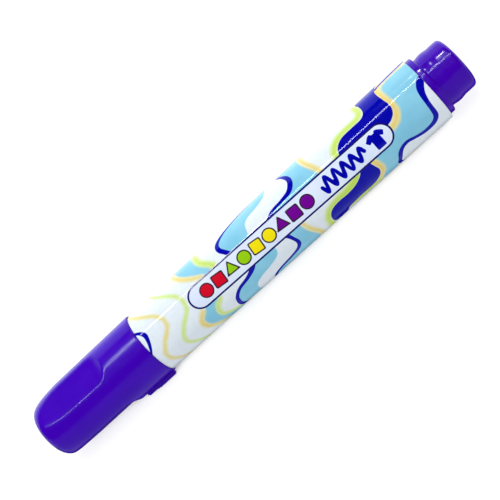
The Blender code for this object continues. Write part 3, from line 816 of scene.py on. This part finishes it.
def pattern_fields(places):
    """Every layer of the print as signed distances in millimetres at unrolled places."""
    def lowest(fields):
        return np.minimum.reduce(list(fields))

    def halo(edges, line):
        """Soft bands that run in under the shapes beside them, and one free line."""
        bands = [stroke_field(places, flat_curve(edge)) - 0.2 for edge in edges]
        return lowest(bands + [stroke_field(places, flat_curve(line, width=1.0))])

    streams = [
        stream_area(STREAM_1_LEFT, STREAM_1_RIGHT),
        stream_area(STREAM_2_LEFT, STREAM_2_RIGHT),
        stream_area(STREAM_3_LEFT, STREAM_3_RIGHT),
    ]
    blues = streams + [flat_curve(outline, True) for outline in (REAR_BLUE, BACK_BLUE)]
    blobs = [UPPER_BLOB, LOWER_BLOB, BACK_BLOB, BACK_SWIRL]
    lines = [STREAM_2_LEFT, STREAM_3_LEFT] + MOUTH_ARCS + REAR_LINES
    navy_lines = [stroke_field(places, flat_curve(line)) for line in lines]
    navy_areas = [area_field(places, flat_curve(blob, True)) for blob in blobs]
    panel = flat_curve([PANEL_START, PANEL_STOP], width=2 * PANEL_HALF_HEIGHT)
    marks, inks = mark_fields(places)
    fields = {
        "print_blue": lowest(area_field(places, blue) for blue in blues),
        "print_lime": halo(LIME_HALOS, LIME_LINE),
        "print_yellow": halo(YELLOW_HALOS, YELLOW_LINE),
        "print_navy": lowest(navy_lines + navy_areas),
        "print_panel": stroke_field(places, panel, reach=6.0),
        "print_sign": sign_field(places),
        "print_mark": marks,
    }
    return fields, inks


def make_label():
    """Printed film: a fine grid that carries the print's layers, thickened inwards."""
    columns = np.linspace(BARREL_FRONT + 0.03, BARREL_REAR - 0.04, 308)
    first = SEAM_TURN - 360.0 + SEAM_WIDTH / 2
    last = SEAM_TURN - SEAM_WIDTH / 2
    turns = np.concatenate([
        np.linspace(first, -26.0, 42, endpoint=False),
        np.linspace(-26.0, 32.0, 38, endpoint=False),
        np.linspace(32.0, last, 66),
    ])
    rings = [[spot(x, taper_radius(x), turn) for turn in turns] for x in columns]
    label = grid_mesh("printed_sleeve", rings, wrap_turns=False)
    places = np.array([(x, math.radians(turn) * PRINT_RADIUS) for x in columns for turn in turns])
    fields, inks = pattern_fields(places)
    for name, values in fields.items():
        layer = label.data.attributes.new(name, "FLOAT", "POINT")
        layer.data.foreach_set("value", values.astype(np.float32))
    ink_layer = label.data.attributes.new("print_ink", "FLOAT_COLOR", "POINT")
    ink_layer.data.foreach_set("color", inks.astype(np.float32).ravel())
    film = label.modifiers.new("film", "SOLIDIFY")
    film.thickness = FILM_THICKNESS * MM
    film.offset = -1.0
    smooth(label)
    return label


# ---------------------------------------------------------------- materials

def add(tree, kind, inputs=None, **settings):
    """Add a shader node; inputs are numbers, colours or other nodes' outputs."""
    made = tree.nodes.new("ShaderNode" + kind)
    for key, value in settings.items():
        setattr(made, key, value)
    for key, value in (inputs or {}).items():
        if isinstance(value, bpy.types.NodeSocket):
            tree.links.new(value, made.inputs[key])
        else:
            made.inputs[key].default_value = value
    return made


def new_material(name, **constants):
    """Material with one Principled shader; constants go straight on its sockets."""
    material = bpy.data.materials.new(name)
    material.use_nodes = True
    tree = material.node_tree
    shader = tree.nodes["Principled BSDF"]
    for key, value in constants.items():
        shader.inputs[key.replace("_", " ")].default_value = value
    return material, tree, shader


def stretched_noise(tree, scale, stretch=(1.0, 1.0, 1.0), detail=3.0):
    """Noise in the object's own millimetres; a stretch below 1 draws it out along that axis."""
    place = add(tree, "TexCoord").outputs["Object"]
    mapped = add(tree, "Mapping", {"Vector": place, "Scale": [1000.0 * s for s in stretch]})
    noise = add(tree, "TexNoise", {"Vector": mapped.outputs[0], "Scale": scale, "Detail": detail})
    return noise.outputs["Fac"]


def ranged(tree, value, low, high, new_low, new_high, smooth_step=False):
    """Map a value's range onto another."""
    return add(tree, "MapRange", {
        "Value": value, "From Min": low, "From Max": high, "To Min": new_low, "To Max": new_high,
    }, interpolation_type="SMOOTHSTEP" if smooth_step else "LINEAR").outputs["Result"]


def mixed(tree, share, first, second):
    """Mix two colours."""
    node = add(tree, "Mix", data_type="RGBA")
    for index, value in ((0, share), (6, first), (7, second)):
        if isinstance(value, bpy.types.NodeSocket):
            tree.links.new(value, node.inputs[index])
        else:
            node.inputs[index].default_value = value if index == 0 else (*value[:3], 1.0)
    return node.outputs[2]


def bumped(tree, shader, height, strength, distance):
    """Fine relief from a height."""
    bump = add(tree, "Bump", {"Height": height, "Strength": strength, "Distance": distance * MM})
    tree.links.new(bump.outputs[0], shader.inputs["Normal"])


def glossy_plastic(name, light, dark, roughness, relief):
    """Moulded plastic: pigment a little uneven, gloss that varies and a faint moulded skin."""
    material, tree, shader = new_material(name, IOR=1.19)
    flow = stretched_noise(tree, 0.12, (0.35, 1.0, 1.0), 4.0)
    pigment = mixed(tree, ranged(tree, flow, 0.35, 0.65, 0.0, 1.0), dark, light)
    tree.links.new(pigment, shader.inputs["Base Color"])
    haze = stretched_noise(tree, 0.5, (0.5, 1.0, 1.0), 2.0)
    gloss = ranged(tree, haze, 0.3, 0.7, roughness - 0.03, roughness + 0.04)
    tree.links.new(gloss, shader.inputs["Roughness"])
    bumped(tree, shader, stretched_noise(tree, 1.1, (0.4, 1.0, 1.0), 2.0), 0.3, relief)
    return material


def printed_film():
    """Glossy film with the print's layers, from the paper white up to the navy marks."""
    material, tree, shader = new_material("label_print", IOR=1.2)

    def field(name):
        return add(tree, "Attribute", attribute_name=name).outputs["Fac"]

    def cover(name, low, high):
        """1 where the field is below low, 0 above high."""
        return ranged(tree, field(name), low, high, 1.0, 0.0, True)

    mottle = stretched_noise(tree, 0.9, detail=5.0)
    mottled = ranged(tree, mottle, 0.3, 0.7, 0.0, 1.0)
    white = mixed(tree, mottled, (0.65, 0.72, 0.78), (0.69, 0.76, 0.82))
    wash = stretched_noise(tree, 0.16, detail=2.0)
    washed = ranged(tree, wash, 0.35, 0.65, 0.0, 1.0)
    blue = mixed(tree, washed, (0.19, 0.49, 0.66), (0.23, 0.54, 0.70))
    colour = mixed(tree, cover("print_blue", -0.12, 0.12), white, blue)
    feather = ranged(tree, stretched_noise(tree, 0.7, detail=3.0), 0.3, 0.7, -0.1, 0.1)
    for name, core, rim in (
        ("print_yellow", (0.72, 0.50, 0.14), (0.68, 0.62, 0.27)),
        ("print_lime", (0.45, 0.64, 0.09), (0.56, 0.70, 0.26)),
    ):
        uneven = add(tree, "Math", {0: field(name), 1: feather}, operation="ADD").outputs[0]
        band = mixed(tree, ranged(tree, uneven, -1.0, -0.3, 0.0, 1.0), core, rim)
        colour = mixed(tree, ranged(tree, uneven, -0.45, 0.6, 1.0, 0.0, True), colour, band)
    grain = stretched_noise(tree, 2.6, detail=2.0)
    grained = ranged(tree, grain, 0.3, 0.7, 0.0, 1.0)
    navy = mixed(tree, grained, (0.0008, 0.001, 0.30), (0.0012, 0.0018, 0.37))
    colour = mixed(tree, cover("print_navy", -0.05, 0.05), colour, navy)
    panel = field("print_panel")
    colour = mixed(tree, ranged(tree, panel, -0.04, 0.04, 1.0, 0.0, True), colour, (0.008, 0.006, 0.13))
    pale = mixed(tree, ranged(tree, wash, 0.3, 0.7, 0.0, 1.0), (0.60, 0.68, 0.84), (0.66, 0.74, 0.87))
    inner = ranged(tree, panel, -PANEL_OUTLINE - 0.04, -PANEL_OUTLINE + 0.04, 1.0, 0.0, True)
    colour = mixed(tree, inner, colour, pale)
    colour = mixed(tree, cover("print_sign", -0.04, 0.04), colour, navy)
    colour = mixed(tree, cover("print_mark", -0.04, 0.04), colour, (0.03, 0.012, 0.03))
    ink = add(tree, "Attribute", attribute_name="print_ink").outputs["Color"]
    colour = mixed(tree, cover("print_mark", -0.40, -0.32), colour, ink)
    tree.links.new(colour, shader.inputs["Base Color"])
    tree.links.new(ranged(tree, mottle, 0.3, 0.7, 0.06, 0.1), shader.inputs["Roughness"])
    ripple = stretched_noise(tree, 0.35, (0.4, 1.0, 1.0), 2.0)
    bumped(tree, shader, ripple, 0.03, 0.08)
    return material


def white_plastic():
    """White moulded polypropylene of the barrel: slightly waxy, with faint flow marks."""
    material, tree, shader = new_material("barrel_white", IOR=1.49, Subsurface_Weight=0.08,
                                          Subsurface_Scale=0.001)
    flow = stretched_noise(tree, 0.25, (0.3, 1.0, 1.0), 4.0)
    white = mixed(tree, flow, (0.80, 0.81, 0.86), (0.88, 0.89, 0.92))
    tree.links.new(white, shader.inputs["Base Color"])
    tree.links.new(ranged(tree, flow, 0.3, 0.7, 0.26, 0.38), shader.inputs["Roughness"])
    bumped(tree, shader, stretched_noise(tree, 2.2), 0.1, 0.05)
    return material


def milky_plastic():
    """Soft, cloudy plastic of the seal."""
    material, tree, shader = new_material("seal_milky", IOR=1.45, Subsurface_Weight=0.3,
                                          Subsurface_Scale=0.002)
    cloud = stretched_noise(tree, 0.3, detail=4.0)
    milk = mixed(tree, cloud, (0.60, 0.61, 0.68), (0.78, 0.79, 0.84))
    tree.links.new(milk, shader.inputs["Base Color"])
    tree.links.new(ranged(tree, cloud, 0.3, 0.7, 0.38, 0.5), shader.inputs["Roughness"])
    bumped(tree, shader, stretched_noise(tree, 2.0), 0.12, 0.06)
    return material


def pressed_fibre(name, dry, wet, scale, relief):
    """Fibres that run along the pen, soaked with ink."""
    material, tree, shader = new_material(name)
    strands = stretched_noise(tree, scale, (0.08, 1.0, 1.0), 6.0)
    soak = stretched_noise(tree, 0.4, detail=3.0)
    fibre = mixed(tree, ranged(tree, strands, 0.35, 0.65, 0.0, 1.0), wet, dry)
    soaked = mixed(tree, ranged(tree, soak, 0.4, 0.7, 0.0, 0.6), fibre, wet)
    tree.links.new(soaked, shader.inputs["Base Color"])
    tree.links.new(ranged(tree, strands, 0.3, 0.7, 0.6, 0.95), shader.inputs["Roughness"])
    bumped(tree, shader, strands, 0.6, relief)
    return material


def sleeve_film():
    """Thin clear film, tinted by the ink behind it."""
    material, tree, shader = new_material("sleeve_film", IOR=1.5)
    wrinkle = stretched_noise(tree, 0.2, (0.2, 1.0, 1.0), 4.0)
    tint = mixed(tree, wrinkle, (0.34, 0.28, 0.62), (0.56, 0.52, 0.78))
    tree.links.new(tint, shader.inputs["Base Color"])
    tree.links.new(ranged(tree, wrinkle, 0.3, 0.7, 0.16, 0.34), shader.inputs["Roughness"])
    bumped(tree, shader, wrinkle, 0.2, 0.1)
    return material


# ---------------------------------------------------------------- stage, light and camera

def make_floor():
    """Plain, pale, matt floor that glows evenly; its glow is dimmed close to the pen as a painted contact
    shadow.
    """
    mesh = bpy.data.meshes.new("studio_floor")
    half = 4.0
    mesh.from_pydata([(-half, -half, 0), (half, -half, 0), (half, half, 0), (-half, half, 0)], [],
                     [(0, 1, 2, 3)])
    floor = bpy.data.objects.new("studio_floor", mesh)
    bpy.context.scene.collection.objects.link(floor)
    material, tree, shader = new_material("floor_white", Roughness=0.9)
    shader.inputs["Specular IOR Level"].default_value = 0.0
    shader.inputs["Emission Color"].default_value = (1.0, 1.0, 1.0, 1.0)
    grain = stretched_noise(tree, 0.05, detail=3.0)
    shade = mixed(tree, grain, (0.14, 0.14, 0.145), (0.16, 0.16, 0.165))
    tree.links.new(shade, shader.inputs["Base Color"])
    # Painted contact shadow: ambient occlusion dims the floor's glow where the pen is near, standing in
    # for the shade under it.
    painted_contact_shadow = add(tree, "AmbientOcclusion", {"Distance": 6.0 * MM}, samples=16).outputs["AO"]
    tree.links.new(ranged(tree, painted_contact_shadow, 0.02, 0.09, 0.0, 0.88), shader.inputs["Emission Strength"])
    mesh.materials.append(material)
    # Hidden from reflections: there the world's ground, with its painted shadow under the pen, stands in
    # for the floor.
    floor.visible_glossy = False


def make_world():
    """White sweep behind and over the pen, a dim room in front, and pale ground with a painted shadow
    that makes it dark under the pen.
    """
    world = bpy.data.worlds.new("studio")
    bpy.context.scene.world = world
    world.use_nodes = True
    tree = world.node_tree
    background = tree.nodes["Background"]
    direction = add(tree, "TexCoord").outputs["Generated"]
    parts = add(tree, "SeparateXYZ", {"Vector": direction}).outputs
    behind = ranged(tree, parts["Y"], 0.34, 0.39, 0.0, 1.0, True)
    room = mixed(tree, behind, (0.03, 0.03, 0.035), (1.9, 1.9, 2.0))
    # Painted shadow in the reflected ground: directions steeply down and towards the back are dark,
    # standing in for the floor's shade under the pen.
    near_side = ranged(tree, parts["Y"], 0.1, 0.35, 1.0, 0.0, True)
    far_off = ranged(tree, parts["Z"], -0.5, -0.42, 0.0, 1.0, True)
    unshadowed_ground_share = add(tree, "Math", {0: near_side, 1: far_off}, operation="MAXIMUM").outputs[0]
    ground_with_painted_shadow = mixed(tree, unshadowed_ground_share, (0.03, 0.03, 0.035), (0.95, 0.95, 0.97))
    below = ranged(tree, parts["Z"], -0.05, 0.0, 1.0, 0.0, True)
    tree.links.new(mixed(tree, below, room, ground_with_painted_shadow), background.inputs["Color"])
    background.inputs["Strength"].default_value = 1.0


def make_lights():
    """Soft light from above, a narrow strip for the line of gloss, and a glint on the rear plug."""
    sky = bpy.data.lights.new("soft_overhead", "SUN")
    sky.energy = 3.3
    sky.angle = math.radians(70.0)
    above = bpy.data.objects.new("soft_overhead", sky)
    bpy.context.scene.collection.objects.link(above)
    above.rotation_euler = (math.radians(24.0), 0.0, 0.0)
    above.visible_glossy = False

    centre = Vector((0.0, 0.0, AXIS_HEIGHT * MM))
    for name, x, lift, length, width, power in (
        ("strip", 0.0, 71.0, 0.9, 0.03, 5.5),
        ("second_glint", 0.110, 91.0, 0.024, 0.028, 1.6),
    ):
        glow = bpy.data.lights.new(name, "AREA")
        glow.shape = "RECTANGLE"
        glow.size = length
        glow.size_y = width
        glow.energy = power
        lamp = bpy.data.objects.new(name, glow)
        bpy.context.scene.collection.objects.link(lamp)
        away = math.radians(lift)
        aim = centre + Vector((x, 0.0, 0.0))
        lamp.location = aim + Vector((0.0, -math.cos(away), math.sin(away))) * 0.5
        lamp.visible_diffuse = False
        lamp.rotation_euler = (aim - lamp.location).to_track_quat("-Z", "Y").to_euler()


def make_camera():
    """Camera above the front side, tipped so that the pen runs up to the right."""
    side = math.radians(6.7)
    lift = math.radians(PANEL_LIFT)
    roll = math.radians(42.62)
    back = Vector((math.sin(side), -math.cos(side) * math.cos(lift), math.cos(side) * math.sin(lift)))
    along = Vector((1.0, 0.0, 0.0))
    along = (along - back * along.dot(back)).normalized()
    over = back.cross(along)
    right = math.cos(roll) * along - math.sin(roll) * over
    up = math.sin(roll) * along + math.cos(roll) * over
    data = bpy.data.cameras.new("photo_camera")
    data.sensor_width = 36.0
    data.lens = 90.0
    data.clip_start = 0.01
    data.clip_end = 20.0
    camera = bpy.data.objects.new("photo_camera", data)
    bpy.context.scene.collection.objects.link(camera)
    distance = 0.3094
    target = Vector((0.70, 0.0, AXIS_HEIGHT)) * MM
    place = target + back * distance - right * 0.21 * MM + up * 0.228 * MM
    turned = Matrix((right, up, back)).transposed().to_4x4()
    camera.matrix_world = Matrix.Translation(place) @ turned
    bpy.context.scene.camera = camera


def main():
    """Stage and lights first, then the eight pieces on their bodies."""
    make_camera()
    make_floor()
    make_world()
    make_lights()
    bpy.context.scene.view_settings.view_transform = "Standard"
    violet = glossy_plastic("cap_violet", (0.046, 0.0004, 0.42), (0.038, 0.0002, 0.375), 0.19, 0.01)
    plug_violet = glossy_plastic("plug_violet", (0.050, 0.0008, 0.40), (0.041, 0.0004, 0.35), 0.15, 0.15)
    finish_piece(make_cap(), "cap", "cap", violet)
    finish_piece(make_seal(), "cap_inner_seal", "cap_seal", milky_plastic())
    finish_piece(make_barrel(), "barrel", "pen_body", white_plastic())
    finish_piece(make_label(), "printed_label", "pen_body", printed_film())
    finish_piece(make_plug(), "rear_plug", "pen_body", plug_violet)
    nib_look = pressed_fibre("nib_ink", (0.16, 0.05, 0.55), (0.06, 0.01, 0.36), 2.4, 0.12)
    finish_piece(make_nib(), "nib", "pen_body", nib_look)
    core_look = pressed_fibre("core_ink", (0.24, 0.12, 0.62), (0.08, 0.02, 0.42), 1.8, 0.15)
    finish_piece(make_core(), "reservoir_core", "pen_body", core_look)
    finish_piece(make_wrap(), "reservoir_wrap", "pen_body", sleeve_film())


main()
